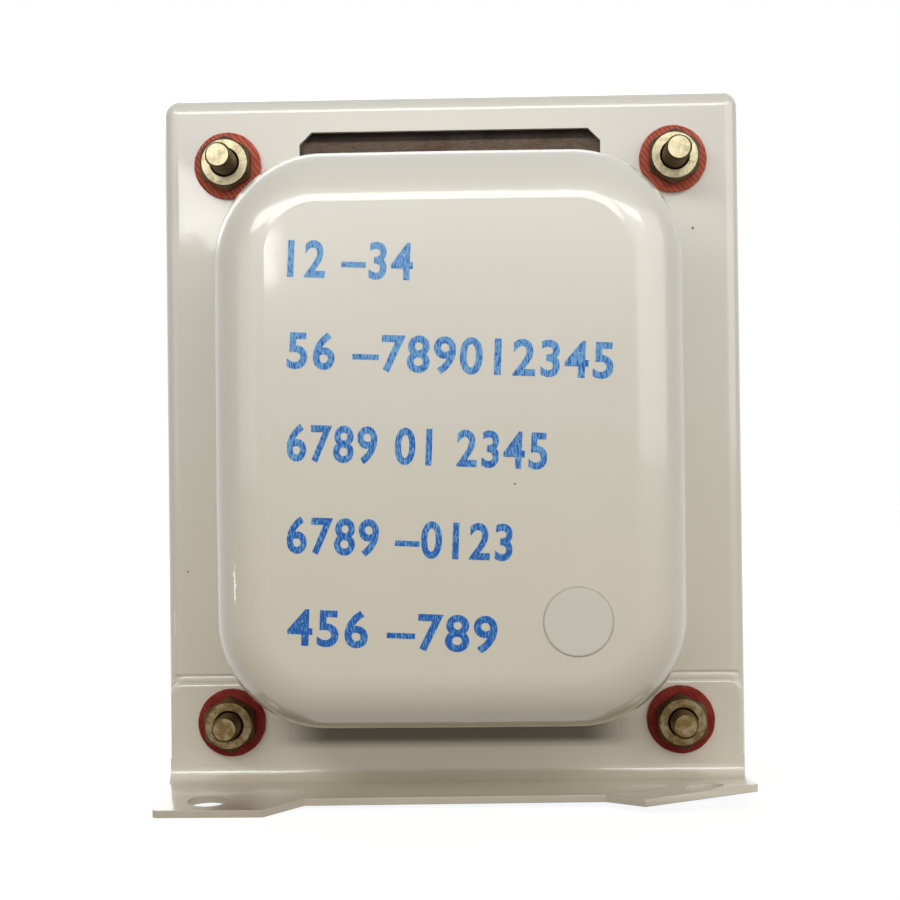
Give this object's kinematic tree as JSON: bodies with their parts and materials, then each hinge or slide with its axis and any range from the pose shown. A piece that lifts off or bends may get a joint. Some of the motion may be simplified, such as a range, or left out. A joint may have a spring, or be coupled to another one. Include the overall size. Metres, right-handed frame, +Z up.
{
  "type": "step-down transformer",
  "caption": "Mains step-down transformer for travel: a laminated core clamped between two drawn steel covers with feet, an outlet and a cord inlet.",
  "frame": {"origin": "on the surface that the feet stand on, at the middle of the four foot holes, under the middle of the core", "axes": "+Z up, -Y out of the front dome, +Y out of the rear dome with the outlet, +X to the right as seen from the front"},
  "size_m": [0.0658, 0.0847, 0.0799],
  "materials": {
    "enamel": "gloss, warm light grey",
    "core_steel": "oiled electrical steel, dark",
    "bobbin_nylon": "satin",
    "enamelled_wire": "varnished copper",
    "coil_tape": "smooth",
    "plated_steel": "dull zinc plating",
    "red_fibre": "dull",
    "outlet_plastic": "satin",
    "contact_brass": "bright",
    "grommet_rubber": "dull",
    "fuse_case": "plain",
    "lead_black": "satin",
    "lead_white": "satin",
    "splice_nylon": "satin",
    "sticker_film": "gloss"
  },
  "bodies": {
    "root": {"front_cover": "enamel", "rear_cover": "enamel", "e_laminations_open_right": "core_steel", "e_laminations_open_left": "core_steel", "i_laminations_right": "core_steel", "i_laminations_left": "core_steel", "bobbin": "bobbin_nylon", "primary_winding": "enamelled_wire", "secondary_winding": "enamelled_wire", "interwinding_tape": "coil_tape", "outer_tape": "coil_tape", "clamp_bolts": "plated_steel", "front_nuts": "plated_steel", "front_fibre_washers": "red_fibre", "rear_fibre_washers": "red_fibre", "inner_fibre_washers": "red_fibre", "bolt_sleeves": "red_fibre", "outlet_body": "outlet_plastic", "outlet_cap": "outlet_plastic", "outlet_contact_left": "contact_brass", "outlet_contact_right": "contact_brass", "cord_grommet": "grommet_rubber", "thermal_fuse": "fuse_case", "coil_to_fuse_lead": "lead_black", "fuse_to_splice_lead": "lead_black", "coil_to_splice_lead": "lead_white", "outlet_lead_left": "lead_black", "outlet_lead_right": "lead_white", "crimp_splices": "splice_nylon", "round_sticker": "sticker_film"}
  },
  "joints": []
}
